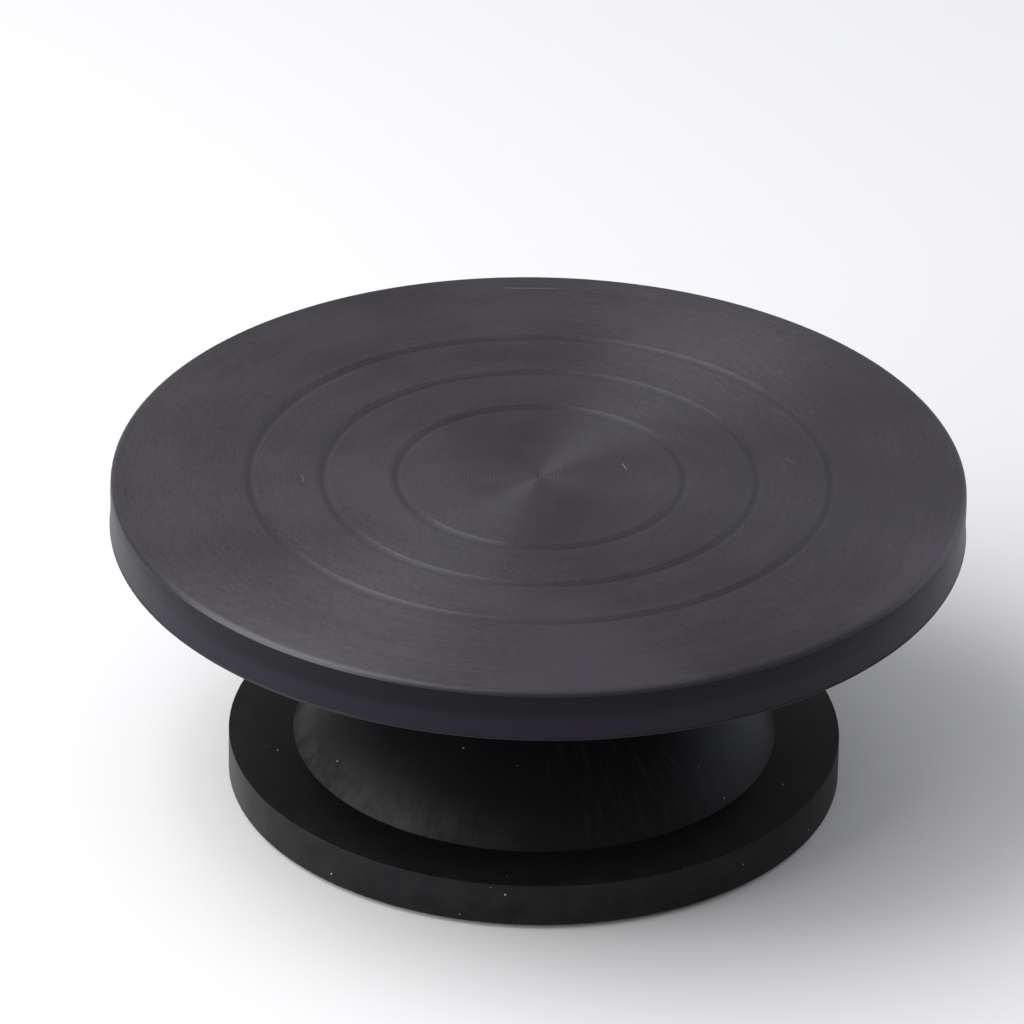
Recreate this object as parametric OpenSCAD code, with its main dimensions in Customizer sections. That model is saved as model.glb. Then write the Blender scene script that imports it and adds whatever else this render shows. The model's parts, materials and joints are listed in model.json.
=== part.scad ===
// Sculpting turntable: a round wheel head that spins on a domed base, on two ball bearings.
// Z is up, the rubber feet stand on z = 0, and the spin axis is the Z axis. Millimetres.

/* [Wheel head] */
// Diameter of the wheel head
wheel_d = 280; // [270:1:290]
// Depth of the wheel head, from its top face to the bottom of its skirt
wheel_depth = 17.3; // [16:0.1:20]
// Thickness of the wheel head's plate
plate_t = 5; // [4.5:0.5:6]
// Thickness of the wheel head's skirt
skirt_t = 4; // [3:0.5:5]
// Rounding of the wheel head's top edge
rim_round = 2; // [1:0.5:3]
// Radius of the innermost centring groove
groove_r = 47; // [42:1:50]
// Distance from one centring groove to the next
groove_pitch = 24; // [18:1:26]
// Number of centring grooves
groove_count = 3; // [1:1:3]
// Width of a centring groove
groove_w = 4.5; // [3:0.5:6]
// Depth of a centring groove in its middle
groove_depth = 0.4; // [0.3:0.1:1.5]
// Number of ribs that run from the wheel head's boss to its skirt
wheel_rib_count = 15; // [12:1:18]

/* [Base] */
// Height of the whole turntable, from the floor to the wheel head's top face
total_h = 111.5; // [108:0.5:120]
// Diameter of the base
base_d = 203; // [196:1:220]
// Thickness of the base's flange
flange_t = 15; // [12:0.5:18]
// Rounding of the flange's top edge
flange_round = 1; // [0.5:0.5:3]
// Radius of the arc that the dome's surface follows
dome_arc_r = 77; // [76:1:82]
// Distance of that arc's centre from the spin axis
dome_arc_x = 18; // [16:1:20]
// Radius at which the dome meets the flange
dome_foot_r = 79.5; // [78:0.5:82]
// Diameter of the hub at its top
hub_d = 66; // [62:1:72]
// How much wider the hub's radius is at the bottom than at the top
hub_draft = 0.5; // [0:0.1:1]
// Height of the hub's top above the base's bottom edge
hub_h = 78.5; // [78:0.5:80]
// Rounding of the hub's top edge
hub_round = 3.5; // [1:0.5:4]
// Thickness of the base's walls
wall_t = 4; // [3:0.5:5]
// Thickness of the ribs under the wheel head and the base
rib_t = 2.4; // [1.6:0.2:3]
// Number of ribs that run from the bearing tube to the base's skirt
base_rib_count = 6; // [6:1:12]

/* [Feet] */
// Number of rubber feet
foot_count = 6; // [3:1:8]
// Diameter of a rubber foot
foot_d = 16; // [12:1:18]
// How far a rubber foot stands out of the base
foot_proud = 1.5; // [1:0.5:3]
// How deep a rubber foot sits in its pocket
foot_sunk = 2.5; // [2:0.5:4]
// Radius of the circle that the feet stand on
foot_circle_r = 88; // [86:1:88]

/* [Spindle] */
// Diameter of the spindle between the wheel head and the hub
spindle_d = 19; // [18.5:0.5:20]
// Diameter of the spindle's flange
spindle_flange_d = 64; // [60:1:70]
// Thickness of the spindle's flange
spindle_flange_t = 4; // [3:0.5:5]
// Radius of the circle that the spindle's screws are on
screw_circle_r = 23; // [20:1:25]
// Number of spindle screws
screw_count = 4; // [3:1:6]
// Diameter of a spindle screw
screw_d = 5; // [4:0.5:6]

/* [Bearings] */
// Bore of a ball bearing
bearing_bore = 17; // [17:17]
// Outside diameter of a ball bearing
bearing_od = 40; // [40:40]
// Width of a ball bearing
bearing_w = 12; // [12:12]
// Number of balls in a ball bearing
ball_count = 8; // [7:1:8]
// Diameter of a bearing ball
ball_d = 6.747; // [6.5:0.001:6.8]
// Length of the spacer between the two bearings
spacer_len = 24; // [20:1:26]

/* [Hidden] */

$fn = 96;
// Gap left all round between pieces that sit still in each other
fit_gap = 0.02;
// Gap left all round the plastic cap and plug in their seats
plug_gap = 0.1;
// Gap left all round a bearing ball
ball_gap = 0.1;
// How far a cutting shape runs past the face that it cuts
over = 1;

charcoal = [0.16, 0.155, 0.165];
black = [0.07, 0.07, 0.075];
rubber = [0.12, 0.12, 0.12];
steel = [0.62, 0.63, 0.65];
bright_steel = [0.78, 0.79, 0.8];
nylon = [0.55, 0.5, 0.38];

// Heights, from the floor up
base_z = foot_proud;
flange_z = base_z + flange_t;
hub_z = base_z + hub_h;
skirt_z = total_h - wheel_depth;
plate_z = total_h - plate_t;

// Wheel head
wheel_r = wheel_d / 2;
lip_round = 0.4;
boss_drop = 3;
boss_margin = 5;
boss_z = plate_z - boss_drop;
boss_r = spindle_flange_d / 2 + boss_margin;
// How far the ribs stop above the bottom edge of the skirt that they run to
rib_rise = 3;
wheel_rib_z = skirt_z + rib_rise;
wheel_ring_r = [60, 85, 110];
// Radius of the arc that a groove's section follows
groove_arc_r = (pow(groove_w / 2, 2) + pow(groove_depth, 2)) / (2 * groove_depth);

// Bearings
upper_bearing_z = 63.5;
lower_bearing_z = upper_bearing_z - spacer_len - bearing_w;
pitch_r = (bearing_bore + bearing_od) / 4;
inner_ring_r = 12.25;
outer_ring_r = 16.3;
seal_seat_r = 16.9;
seal_seat_depth = 1.4;
seal_t = 1;
seal_inset = 0.35;
race_r = ball_d / 2 + ball_gap;
cage_t = 1.8;
cage_h = 8.4;
ring_round = 0.6;
spacer_t = 2;

// Base
base_r = base_d / 2;
hub_r = hub_d / 2;
dome_arc_z = flange_z - sqrt(pow(dome_arc_r, 2) - pow(dome_foot_r - dome_arc_x, 2));
hub_top_t = 6;
tube_r = bearing_od / 2 + wall_t;
tube_z = 8;
// Radius of the bore between the two bearing seats
shoulder_r = 17;
cap_seat_r = 26;
cap_seat_depth = 3;
cap_t = 2.2;
cap_hole_gap = 1;
cap_hole_r = spindle_d / 2 + cap_hole_gap;
base_lip_round = 0.8;
base_rib_z = base_z + rib_rise;
base_ring_r = [48, 72];
foot_boss_t = 2.5;
foot_boss_r = foot_d / 2 + foot_boss_t;
// Walls of the sleeves on the cap and the plug, which reach the bearings
sleeve_t = 2.5;
plug_t = 2;
// Radius of the plug's rim, which is clear of the ribs round the tube
plug_rim_r = bearing_od / 2 + 2.5;

// Spindle
journal_r = bearing_bore / 2 - fit_gap;
spindle_top_z = boss_z;
spindle_flange_z = spindle_top_z - spindle_flange_t;
spigot_h = 3.5;
spindle_tail = 5;
spindle_end_z = lower_bearing_z - spindle_tail;
spindle_chamfer = 1;
// Height and width of the cone between the spindle and its flange
cone_h = 3;
shim_t = 1;
shim_r = inner_ring_r - 0.25;
clip_t = 1;
clip_groove_r = 8.1;
clip_groove_w = 1.1;
clip_z = lower_bearing_z - shim_t - clip_t;
clip_groove_z = clip_z + clip_t - clip_groove_w;
clip_outer_r = 11.2;
clip_gap = 4;
ear_r = 2;
ear_hole_r = 0.9;
ear_x = clip_gap / 2 + ear_r;
ear_y = clip_outer_r + 0.6;
washer_t = 1;
washer_r = screw_d + 0.5;
washer_gap = 0.15;
screw_hole_gap = 0.25;
screw_first = 45;
screw_head_r = screw_d * 0.95;
screw_head_h = 3.3;
screw_head_chamfer = 0.8;
screw_len = 10;
screw_tip_gap = 1;
// How far a screw reaches into the boss
screw_depth = screw_len - washer_t - spindle_flange_t;
recess_w = 1;
recess_len = 5;
recess_depth = 1.6;

// --- Shapes that repeat ---------------------------------------------------------------

// A flat ring, or a tube, standing on height z
module ring(r_out, r_in, h, z) {
    translate([0, 0, z])
        difference() {
            cylinder(r = r_out, h = h);
            translate([0, 0, -over])
                cylinder(r = r_in, h = h + 2 * over);
        }
}

// The corner that is cut off an outline to round its outer top edge at (x, z)
module top_corner(x, z, r) {
    translate([x - r, z - r])
        difference() {
            square(r + over);
            circle(r = r);
        }
}

// The corner that is cut off an outline to round its outer bottom edge at (x, z)
module bottom_corner(x, z, r) {
    translate([x - r, z + r])
        difference() {
            translate([0, -r - over])
                square([r + over, r + over]);
            circle(r = r);
        }
}

// Places its children n times round the axis, on a circle of radius r
module around(n, r, first = 0) {
    for (i = [0 : n - 1])
        rotate([0, 0, first + i * 360 / n])
            translate([r, 0, 0])
                children();
}

// Radial ribs from inner_r and, half-way between them, shorter ones from middle_r
module rib_grid(n, inner_r, middle_r, outer_r, rings, z, h) {
    for (i = [0 : n - 1]) {
        rotate([0, 0, i * 360 / n])
            translate([inner_r, -rib_t / 2, z])
                cube([outer_r - inner_r, rib_t, h]);
        rotate([0, 0, (i + 0.5) * 360 / n])
            translate([middle_r, -rib_t / 2, z])
                cube([outer_r - middle_r, rib_t, h]);
    }
    for (r = rings)
        ring(r + rib_t / 2, r - rib_t / 2, h, z);
}

// --- Wheel head and what turns with it --------------------------------------------------

// Half of the wheel head's outline, with its skirt and its grooves
module wheel_outline() {
    difference() {
        translate([0, skirt_z])
            square([wheel_r, wheel_depth]);
        translate([-over, skirt_z - over])
            square([wheel_r - skirt_t + over, wheel_depth - plate_t + over]);
        top_corner(wheel_r, total_h, rim_round);
        bottom_corner(wheel_r, skirt_z, lip_round);
        for (i = [0 : groove_count - 1])
            translate([groove_r + i * groove_pitch, total_h + groove_arc_r - groove_depth])
                circle(r = groove_arc_r);
    }
}

module wheel_head() {
    color(charcoal)
        difference() {
            union() {
                rotate_extrude()
                    wheel_outline();
                translate([0, 0, boss_z])
                    cylinder(r = boss_r, h = boss_drop + over);
                rib_grid(wheel_rib_count, boss_r - over, wheel_ring_r[0], wheel_r - skirt_t / 2,
                    wheel_ring_r, wheel_rib_z, plate_z - wheel_rib_z + over);
            }
            translate([0, 0, boss_z - over])
                cylinder(r = journal_r + 2 * fit_gap, h = spigot_h + over + fit_gap);
            around(screw_count, screw_circle_r, screw_first)
                translate([0, 0, boss_z - over])
                    cylinder(r = screw_d / 2 + fit_gap, h = over + screw_depth + screw_tip_gap);
        }
}

module spindle() {
    color(steel)
        difference() {
            union() {
                translate([0, 0, lower_bearing_z - shim_t])
                    cylinder(r = journal_r, h = upper_bearing_z + bearing_w - lower_bearing_z + shim_t);
                translate([0, 0, clip_groove_z])
                    cylinder(r = clip_groove_r, h = clip_groove_w + over);
                translate([0, 0, spindle_end_z])
                    cylinder(r1 = journal_r - spindle_chamfer, r2 = journal_r, h = spindle_chamfer);
                translate([0, 0, spindle_end_z + spindle_chamfer])
                    cylinder(r = journal_r, h = clip_groove_z - spindle_end_z - spindle_chamfer);
                translate([0, 0, upper_bearing_z + bearing_w])
                    cylinder(d = spindle_d, h = spindle_flange_z - upper_bearing_z - bearing_w + over);
                translate([0, 0, spindle_flange_z - cone_h])
                    cylinder(d1 = spindle_d, d2 = spindle_d + 2 * cone_h, h = cone_h);
                translate([0, 0, spindle_flange_z])
                    cylinder(d = spindle_flange_d, h = spindle_flange_t);
                translate([0, 0, spindle_top_z])
                    cylinder(r = journal_r, h = spigot_h);
            }
            around(screw_count, screw_circle_r, screw_first)
                translate([0, 0, spindle_flange_z - over])
                    cylinder(r = screw_d / 2 + screw_hole_gap, h = spindle_flange_t + 2 * over);
        }
}

// One cross-recessed screw, its head down, with the underside of the head at z = 0
module screw() {
    difference() {
        union() {
            cylinder(d = screw_d, h = screw_len);
            translate([0, 0, -screw_head_h])
                cylinder(r1 = screw_head_r - screw_head_chamfer, r2 = screw_head_r, h = screw_head_chamfer);
            translate([0, 0, screw_head_chamfer - screw_head_h])
                cylinder(r = screw_head_r, h = screw_head_h - screw_head_chamfer);
        }
        for (turn = [0, 90])
            rotate([0, 0, turn])
                translate([-recess_len / 2, -recess_w / 2, -screw_head_h - over])
                    cube([recess_len, recess_w, recess_depth + over]);
    }
}

module spindle_screws() {
    color(bright_steel)
        around(screw_count, screw_circle_r, screw_first)
            translate([0, 0, spindle_flange_z - washer_t])
                screw();
}

module screw_washers() {
    color(bright_steel)
        around(screw_count, screw_circle_r, screw_first)
            ring(washer_r, screw_d / 2 + washer_gap, washer_t, spindle_flange_z - washer_t);
}

module bearing_spacer() {
    color(steel)
        ring(bearing_bore / 2 + spacer_t, bearing_bore / 2, spacer_len, lower_bearing_z + bearing_w);
}

module shim_washer() {
    color(bright_steel)
        ring(shim_r, bearing_bore / 2, shim_t, lower_bearing_z - shim_t);
}

// An open clip with two drilled ears, sprung into the spindle's groove
module retaining_ring() {
    color(bright_steel)
        translate([0, 0, clip_z])
            difference() {
                union() {
                    cylinder(r = clip_outer_r, h = clip_t);
                    for (side = [-1, 1])
                        translate([side * ear_x, ear_y, 0])
                            cylinder(r = ear_r, h = clip_t);
                }
                translate([0, 0, -over])
                    cylinder(r = clip_groove_r + fit_gap, h = clip_t + 2 * over);
                translate([-clip_gap / 2, 0, -over])
                    cube([clip_gap, clip_outer_r + 2 * ear_r, clip_t + 2 * over]);
                for (side = [-1, 1])
                    translate([side * ear_x, ear_y, -over])
                        cylinder(r = ear_hole_r, h = clip_t + 2 * over);
            }
}

// --- Ball bearings, standing on height z ------------------------------------------------

module inner_ring(z) {
    color(bright_steel)
        translate([0, 0, z])
            rotate_extrude()
                difference() {
                    translate([bearing_bore / 2, 0])
                        square([inner_ring_r - bearing_bore / 2, bearing_w]);
                    translate([pitch_r, bearing_w / 2])
                        circle(r = race_r);
                }
}

module outer_ring(z) {
    color(bright_steel)
        translate([0, 0, z])
            rotate_extrude()
                difference() {
                    translate([outer_ring_r, 0])
                        square([bearing_od / 2 - outer_ring_r, bearing_w]);
                    translate([pitch_r, bearing_w / 2])
                        circle(r = race_r);
                    translate([0, -over])
                        square([seal_seat_r, seal_seat_depth + over]);
                    translate([0, bearing_w - seal_seat_depth])
                        square([seal_seat_r, seal_seat_depth + over]);
                    top_corner(bearing_od / 2, bearing_w, ring_round);
                    bottom_corner(bearing_od / 2, 0, ring_round);
                }
}

module seals(z) {
    color(rubber)
        for (seal_z = [seal_inset, bearing_w - seal_inset - seal_t])
            ring(seal_seat_r - fit_gap, inner_ring_r + ball_gap, seal_t, z + seal_z);
}

module cage(z) {
    color(nylon)
        translate([0, 0, z + bearing_w / 2])
            difference() {
                ring(pitch_r + cage_t / 2, pitch_r - cage_t / 2, cage_h, -cage_h / 2);
                around(ball_count, pitch_r - cage_t)
                    rotate([0, 90, 0])
                        cylinder(r = race_r, h = 2 * cage_t);
            }
}

module balls(z) {
    color(bright_steel)
        translate([0, 0, z + bearing_w / 2])
            around(ball_count, pitch_r)
                sphere(d = ball_d);
}

// --- Base and what stands still in it ---------------------------------------------------

// Half of the base's outline from height low up, pulled in all round by inset
module base_outline(inset, low, hub_top) {
    translate([0, low])
        square([base_r - inset, flange_z - inset - low]);
    intersection() {
        translate([0, low])
            square([dome_foot_r - inset, hub_z - low]);
        translate([dome_arc_x, dome_arc_z])
            circle(r = dome_arc_r - inset);
    }
    polygon([
        [0, low],
        [hub_r + hub_draft - inset, low],
        [hub_r + hub_draft - inset, flange_z],
        [hub_r - inset, hub_top],
        [0, hub_top]
    ]);
}

module base_shell() {
    rotate_extrude()
        difference() {
            base_outline(0, base_z, hub_z);
            base_outline(wall_t, base_z - over, hub_z - hub_top_t);
            top_corner(base_r, flange_z, flange_round);
            top_corner(hub_r, hub_z, hub_round);
            bottom_corner(base_r, base_z, base_lip_round);
        }
}

module base_ribs() {
    intersection() {
        rotate_extrude()
            base_outline(wall_t / 2, base_rib_z, hub_z - hub_top_t / 2);
        rib_grid(base_rib_count, tube_r - over, base_ring_r[0], base_r,
            base_ring_r, base_rib_z, hub_z - base_rib_z);
    }
}

module base() {
    color(black)
        difference() {
            union() {
                base_shell();
                base_ribs();
                translate([0, 0, tube_z])
                    cylinder(r = tube_r, h = hub_z - hub_top_t / 2 - tube_z);
                around(foot_count, foot_circle_r)
                    translate([0, 0, base_z])
                        cylinder(r = foot_boss_r, h = flange_t - wall_t / 2);
            }
            translate([0, 0, tube_z - over])
                cylinder(r = bearing_od / 2 + fit_gap, h = lower_bearing_z + bearing_w - tube_z + over);
            translate([0, 0, tube_z])
                cylinder(r = shoulder_r, h = hub_z - tube_z);
            translate([0, 0, upper_bearing_z])
                cylinder(r = bearing_od / 2 + fit_gap, h = hub_z - upper_bearing_z);
            translate([0, 0, hub_z - cap_seat_depth])
                cylinder(r = cap_seat_r, h = cap_seat_depth + over);
            around(foot_count, foot_circle_r)
                translate([0, 0, base_z - over])
                    cylinder(r = foot_d / 2 + fit_gap, h = foot_sunk + over);
        }
}

// A dust cap in the hub's top, whose lip holds the upper bearing down
module hub_cap() {
    lip_z = upper_bearing_z + bearing_w;
    seat_z = hub_z - cap_seat_depth;
    color(black)
        difference() {
            union() {
                translate([0, 0, seat_z])
                    cylinder(r = cap_seat_r - plug_gap, h = cap_t);
                translate([0, 0, lip_z])
                    cylinder(r = bearing_od / 2 - plug_gap, h = seat_z - lip_z + over);
            }
            translate([0, 0, lip_z - over])
                cylinder(r = bearing_od / 2 - sleeve_t, h = seat_z - lip_z + over);
            translate([0, 0, lip_z])
                cylinder(r = cap_hole_r, h = hub_z - lip_z);
        }
}

// A cup that closes the bearing tube from below and holds the lower bearing up
module bottom_plug() {
    color(black)
        difference() {
            union() {
                translate([0, 0, tube_z - plug_t])
                    cylinder(r = plug_rim_r, h = plug_t);
                translate([0, 0, tube_z - plug_t])
                    cylinder(r = bearing_od / 2 - plug_gap, h = lower_bearing_z - tube_z + plug_t);
            }
            translate([0, 0, tube_z])
                cylinder(r = bearing_od / 2 - sleeve_t, h = lower_bearing_z - tube_z + over);
        }
}

module rubber_feet() {
    color(rubber)
        around(foot_count, foot_circle_r)
            rotate_extrude()
                difference() {
                    square([foot_d / 2, foot_proud + foot_sunk]);
                    bottom_corner(foot_d / 2, 0, foot_proud / 2);
                }
}

wheel_head();
spindle();
spindle_screws();
screw_washers();
inner_ring(upper_bearing_z);  // upper_inner_ring
bearing_spacer();
inner_ring(lower_bearing_z);  // lower_inner_ring
shim_washer();
retaining_ring();
base();
hub_cap();
bottom_plug();
rubber_feet();
outer_ring(upper_bearing_z);  // upper_outer_ring
seals(upper_bearing_z);  // upper_seals
outer_ring(lower_bearing_z);  // lower_outer_ring
seals(lower_bearing_z);  // lower_seals
cage(upper_bearing_z);  // upper_cage
balls(upper_bearing_z);  // upper_balls
cage(lower_bearing_z);  // lower_cage
balls(lower_bearing_z);  // lower_balls
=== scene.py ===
"""The looks of the sculpting turntable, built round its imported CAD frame.

Lengths are in metres. The object stands on z = 0 and spins about the Z axis. The two mouldings
are rebuilt as fine meshes, and the small pieces keep their CAD shape and get their finish here.
"""
import json
import math

import bmesh
import bpy
from mathutils import Matrix, Vector


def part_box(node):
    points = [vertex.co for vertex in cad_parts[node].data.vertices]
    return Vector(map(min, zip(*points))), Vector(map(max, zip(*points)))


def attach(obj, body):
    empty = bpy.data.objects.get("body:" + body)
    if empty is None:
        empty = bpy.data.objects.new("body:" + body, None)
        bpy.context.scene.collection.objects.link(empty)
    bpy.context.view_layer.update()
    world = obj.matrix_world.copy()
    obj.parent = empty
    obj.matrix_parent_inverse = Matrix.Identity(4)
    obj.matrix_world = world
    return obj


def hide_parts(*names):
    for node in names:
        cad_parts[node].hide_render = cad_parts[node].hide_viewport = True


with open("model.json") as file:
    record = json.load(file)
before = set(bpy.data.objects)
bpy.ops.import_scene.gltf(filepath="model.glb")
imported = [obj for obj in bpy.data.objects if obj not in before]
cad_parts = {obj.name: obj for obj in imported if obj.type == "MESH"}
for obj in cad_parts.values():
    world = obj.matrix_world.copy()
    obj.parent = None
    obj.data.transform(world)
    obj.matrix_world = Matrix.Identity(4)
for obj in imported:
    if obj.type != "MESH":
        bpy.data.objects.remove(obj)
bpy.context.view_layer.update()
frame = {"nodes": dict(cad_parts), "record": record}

MM = 0.001

# --- Sizes, from the frame where it holds them ------------------------------------------------

# The wheel head: a plate with a skirt round it
WHEEL_LOW, WHEEL_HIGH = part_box("wheel_head")
TOP_Z = WHEEL_HIGH.z
SKIRT_Z = WHEEL_LOW.z
WHEEL_R = round((WHEEL_HIGH.x - WHEEL_LOW.x) / 2 / MM) * MM
PLATE_Z = TOP_Z - 5 * MM
SKIRT_IN_R = WHEEL_R - 4 * MM
# The top slopes a little, then rolls over towards the skirt and ends in a crisp corner
SLOPE_W = 7 * MM
SLOPE_DROP = 0.08 * MM
ROLL_W = 1 * MM
ROLL_DROP = 1.5 * MM
EDGE_IN = 0.2 * MM
# The lathe's two cuts along the skirt meet here, and a thin lip is left at its foot. The skirt's painted
# colours also meet here: a painted reflection below and painted shade above
SKIRT_BAND_Z = TOP_Z - 9.2 * MM
BAND_STEP = 0.14 * MM
LIP_PROUD = 0.2 * MM
GROOVE_RADII = [47 * MM, 71 * MM, 95 * MM]
GROOVE_W = 4.5 * MM
GROOVE_DEPTH = 0.5 * MM
# How soft a groove's edges are, where 0 is a sharp corner
GROOVE_EDGE = 0.05
# Where a groove's cross-section bends, in half-widths from outside its edge to its middle
GROOVE_STEPS = [1.25, 1.12, 1.05, 1, 0.95, 0.88, 0.76, 0.6, 0.4, 0.2, 0]
# The mark that the lathe's centre left in the middle of the top
DIMPLE_R = 1 * MM
DIMPLE_DEPTH = 0.25 * MM
# The boss below the plate, which the spindle's flange is screwed to
SPINDLE_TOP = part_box("spindle")[1].z
BOSS_Z = SPINDLE_TOP - 3.5 * MM
BOSS_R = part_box("spindle")[1].x + 5 * MM
BOSS_CHAMFER = 0.3 * MM
# The bore in the boss that takes the spindle's spigot
SPIGOT_BORE_R = 8.52 * MM
SPIGOT_BORE_Z = SPINDLE_TOP + 0.02 * MM
# The long ribs, with a short one between each two, and the radii of the ring ribs
WHEEL_RIBS = 15
WHEEL_RINGS = [60 * MM, 85 * MM, 110 * MM]
WHEEL_RIB_Z = SKIRT_Z + 3 * MM
# The wheel head's ribs begin at this radius, and all ribs reach their height within this distance
RIB_START_R = BOSS_R - 1 * MM
RIB_RISE = 0.3 * MM

# The base: a flange, a dome on it and a hub on the dome
BASE_LOW, BASE_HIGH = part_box("base")
BASE_Z = BASE_LOW.z
HUB_Z = BASE_HIGH.z
# In whole millimetres, which leaves the flange here 0.5 mm inside the CAD's radius of 101.5 mm
BASE_R = math.floor((BASE_HIGH.x - BASE_LOW.x) / 2 / MM) * MM
FLANGE_Z = BASE_Z + 15 * MM
WALL = 4 * MM
# The flange's side leans out by this much at its foot
FLANGE_LEAN = 0.001 * MM
HUB_R = 33 * MM
DOME_ARC_R = 77 * MM
DOME_ARC_X = 18 * MM
DOME_FOOT_R = 79.5 * MM
DOME_ARC_Z = FLANGE_Z - math.sqrt(DOME_ARC_R ** 2 - (DOME_FOOT_R - DOME_ARC_X) ** 2)
# The seat of the dust cap, the two bearings' pockets and the shoulder between them
CAP_SEAT_R = 26 * MM
CAP_SEAT_Z = HUB_Z - 3 * MM
POCKET_R = 20.02 * MM
SHOULDER_R = 17 * MM
UPPER_BEARING_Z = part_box("upper_outer_ring")[0].z
LOWER_BEARING_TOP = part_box("lower_outer_ring")[1].z
# The tube round the bearings, and the ribs between it and the flange
TUBE_R = 24 * MM
TUBE_Z = 8 * MM
BASE_RIBS = 6
BASE_RINGS = [48 * MM, 72 * MM]
BASE_RIB_Z = BASE_Z + 3 * MM
HUB_VOID_Z = HUB_Z - 6 * MM

# Across a rib: distance from its middle, and how much of its height is left there
RIB_SHAPE = [(0, 1), (0.85, 1), (1.1, 0.975), (1.35, 0.12), (1.65, 0.03), (2.3, 0)]

# The dust cap and the plug, which have the same sleeve
CAP_LOW, CAP_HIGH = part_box("hub_cap")
CAP_R = CAP_HIGH.x
CAP_HOLE_R = 10.5 * MM
SLEEVE_R = 19.9 * MM
SLEEVE_IN_R = 17.5 * MM
PLUG_LOW, PLUG_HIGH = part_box("bottom_plug")
PLUG_RIM_R = PLUG_HIGH.x
PLUG_FLOOR_Z = TUBE_Z

# The feet, on a circle below the flange
FEET = 6
FOOT_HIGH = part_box("rubber_feet")[1]
FOOT_R = 8 * MM
FOOT_CIRCLE_R = FOOT_HIGH.x - FOOT_R
FOOT_BOSS_R = 10.5 * MM
FOOT_HEADINGS = [2 * math.pi * k / FEET for k in range(FEET)]
FOOT_PLACES = [(FOOT_CIRCLE_R * math.cos(a), FOOT_CIRCLE_R * math.sin(a)) for a in FOOT_HEADINGS]

# --- Outlines ---------------------------------------------------------------------------------


def rounded(corners, steps=6):
    """A polyline of (r, z, radius) corners, each rounded to its radius, as a list of (r, z)."""
    points = []
    for i, (r, z, radius) in enumerate(corners):
        here = Vector((r, z))
        if radius == 0 or i in (0, len(corners) - 1):
            points.append(here)
            continue
        back = (Vector(corners[i - 1][:2]) - here).normalized()
        ahead = (Vector(corners[i + 1][:2]) - here).normalized()
        half = back.angle(ahead) / 2
        centre = here + (back + ahead).normalized() * (radius / math.sin(half))
        start = here + back * (radius / math.tan(half))
        end = here + ahead * (radius / math.tan(half))
        turn = (start - centre).angle_signed(end - centre)
        for k in range(steps + 1):
            angle = -turn * k / steps
            arm = start - centre
            points.append(centre + Vector((
                arm.x * math.cos(angle) - arm.y * math.sin(angle),
                arm.x * math.sin(angle) + arm.y * math.cos(angle),
            )))
    return points


def spread(start, end, count):
    """count points from start to end, both included."""
    return [start + (end - start) * i / (count - 1) for i in range(count)]


def rib_share(distance):
    """How much of a rib's height is left at a distance from its middle line."""
    x = abs(distance) / MM
    for (x0, s0), (x1, s1) in zip(RIB_SHAPE, RIB_SHAPE[1:]):
        if x <= x1:
            return s0 + (s1 - s0) * (x - x0) / (x1 - x0)
    return 0.0


def near_rib(middle):
    """The radii at which a ring rib's cross-section bends."""
    offsets = [x * MM for x, _ in RIB_SHAPE]
    return [middle - x for x in reversed(offsets[1:])] + [middle + x for x in offsets]


# --- Round meshes -----------------------------------------------------------------------------

# The surface has a sharp edge where it turns by more than this
CREASE = math.radians(40)
# Points nearer to each other than this become one
WELD = 0.002 * MM


def link(name, mesh):
    """A new object with this mesh, in the scene."""
    obj = bpy.data.objects.new(name, mesh)
    bpy.context.scene.collection.objects.link(obj)
    return obj


def shade(obj):
    """Smooth shading, with the creases left sharp."""
    for face in obj.data.polygons:
        face.use_smooth = True
    bm = bmesh.new()
    bm.from_mesh(obj.data)
    for edge in bm.edges:
        edge.smooth = len(edge.link_faces) == 2 and edge.calc_face_angle(0) < CREASE
    bm.to_mesh(obj.data)
    bm.free()


def skin(name, rows, loop):
    """A closed mesh over rows of points. loop joins the last row to the first."""
    bm = bmesh.new()
    made = [[bm.verts.new(p) for p in row] for row in rows]
    pairs = list(zip(made, made[1:])) + ([(made[-1], made[0])] if loop else [])
    for low, high in pairs:
        count = max(len(low), len(high))
        for j in range(count):
            corners = []
            for row, k in ((low, j), (low, j + 1), (high, j + 1), (high, j)):
                vert = row[k % len(row)]
                if vert not in corners:
                    corners.append(vert)
            if len(corners) > 2:
                bm.faces.new(corners)
    bmesh.ops.remove_doubles(bm, verts=bm.verts, dist=WELD)
    bmesh.ops.recalc_face_normals(bm, faces=bm.faces)
    mesh = bpy.data.meshes.new(name)
    bm.to_mesh(mesh)
    bm.free()
    return mesh


def circle(r, z, angles):
    """A row of points round the axis, or a single point on it."""
    if r < 0.001 * MM:
        return [Vector((0, 0, z))]
    return [Vector((r * math.cos(a), r * math.sin(a), z)) for a in angles]


def turned(name, outline, loop=False, segments=192, centre=(0, 0)):
    """A piece turned from an outline of (r, z) points."""
    angles = [2 * math.pi * j / segments for j in range(segments)]
    rows = [circle(r, z, angles) for r, z in outline]
    mesh = skin(name, rows, loop)
    mesh.transform(Matrix.Translation((centre[0], centre[1], 0)))
    return link(name, mesh)


def merged(objects, name):
    """One object with the meshes of all of them, which are then gone."""
    bm = bmesh.new()
    for obj in objects:
        bm.from_mesh(obj.data)
        bpy.data.objects.remove(obj)
    mesh = bpy.data.meshes.new(name)
    bm.to_mesh(mesh)
    bm.free()
    return link(name, mesh)


def grow(obj, more):
    """Joins another closed object to obj, so that both become one solid."""
    union = obj.modifiers.new("union", "BOOLEAN")
    union.operation = "UNION"
    union.solver = "EXACT"
    union.object = more
    seen = obj.evaluated_get(bpy.context.evaluated_depsgraph_get())
    mesh = bpy.data.meshes.new_from_object(seen)
    obj.modifiers.clear()
    obj.data = mesh
    bpy.data.objects.remove(more)


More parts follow.
